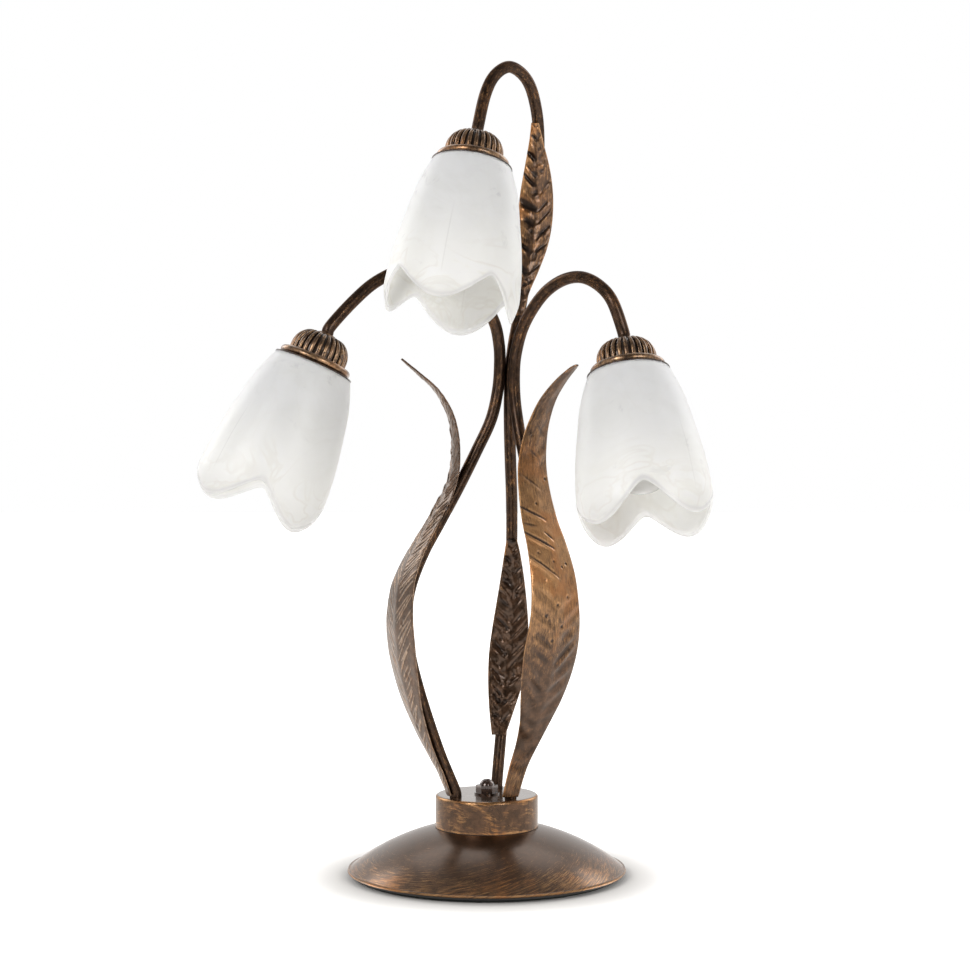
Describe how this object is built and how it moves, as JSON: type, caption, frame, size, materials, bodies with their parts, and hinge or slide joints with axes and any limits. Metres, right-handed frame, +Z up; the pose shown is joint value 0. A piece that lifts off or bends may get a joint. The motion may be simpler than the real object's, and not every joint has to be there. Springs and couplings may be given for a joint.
{
  "type": "tulip shade table lamp",
  "caption": "Table lamp with a domed dish base, bent tube stems with hammered leaves, and hanging tulip glass shades under fluted caps.",
  "frame": {"origin": "centre of the felt's underside, on the table", "axes": "+Z up along the tie rod, -Y towards the side the lamp is seen from, +Y towards the cable bush"},
  "size_m": [0.331, 0.2537, 0.5493],
  "materials": {
    "dish_paint": "dark brown paint with brushed gold strokes, satin gloss",
    "drum_paint": "dark brown paint with mottled gold, satin gloss",
    "stem_paint": "dark brown paint rubbed with bronze, satin",
    "leaf_paint": "hammered and rubbed antique bronze paint, satin",
    "cap_paint": "dark brown paint with bronze on the ribs, satin",
    "nut_paint": "dark bronze paint, gloss",
    "felt": "thin dark felt",
    "cast_weight": "as cast",
    "zinc_steel": "zinc plated",
    "brass": "turned",
    "holder_plastic": "moulded thermoset",
    "terminal_plastic": "moulded",
    "bush_plastic": "moulded",
    "gasket": "fibre washer",
    "shade_glass": "satin alabaster glass with clear rims",
    "bulb_glass": "opal bulb glass",
    "bulb_base": "rolled screw base"
  },
  "bodies": {
    "lamp": {"felt_pad": "felt", "bottom_plate": "zinc_steel", "counterweight": "cast_weight", "base_dome": "dish_paint", "base_drum": "drum_paint", "tie_rod": "zinc_steel", "rod_nuts": "zinc_steel", "rod_washers": "zinc_steel", "cap_nut": "nut_paint", "cap_nut_washer": "nut_paint", "stem_nuts": "zinc_steel", "cable_bush": "bush_plastic", "terminal_block": "terminal_plastic", "left_stem": "stem_paint", "right_stem": "stem_paint", "centre_stem": "stem_paint", "waist_weld": "stem_paint", "left_long_leaf": "leaf_paint", "right_long_leaf": "leaf_paint", "centre_small_leaf": "leaf_paint", "top_small_leaf": "leaf_paint", "left_cap": "cap_paint", "right_cap": "cap_paint", "top_cap": "cap_paint", "stem_nipples": "brass", "nipple_nuts": "brass", "left_holder": "holder_plastic", "right_holder": "holder_plastic", "top_holder": "holder_plastic", "socket_shells": "brass", "glass_gaskets": "gasket", "shade_rings": "holder_plastic", "left_glass": "shade_glass", "right_glass": "shade_glass", "top_glass": "shade_glass"},
    "left_lamp_bulb": {"left_bulb": "bulb_glass", "left_bulb_base": "bulb_base"},
    "right_lamp_bulb": {"right_bulb": "bulb_glass", "right_bulb_base": "bulb_base"},
    "top_lamp_bulb": {"top_bulb": "bulb_glass", "top_bulb_base": "bulb_base"}
  },
  "joints": [
    {"name": "left_bulb_turn", "type": "hinge", "parent": "lamp", "child": "left_lamp_bulb", "pos_m": [-0.1133, -0.0568, 0.3445], "axis": [-0.39, -0.1155, -0.9135], "range_deg": [0, 1080]},
    {"name": "right_bulb_turn", "type": "hinge", "parent": "lamp", "child": "right_lamp_bulb", "pos_m": [0.0903, -0.0895, 0.3391], "axis": [0.1021, -0.3143, -0.9438], "range_deg": [0, 1080]},
    {"name": "top_bulb_turn", "type": "hinge", "parent": "lamp", "child": "top_lamp_bulb", "pos_m": [-0.0098, -0.0496, 0.4758], "axis": [-0.1463, -0.2434, -0.9588], "range_deg": [0, 1080]}
  ]
}
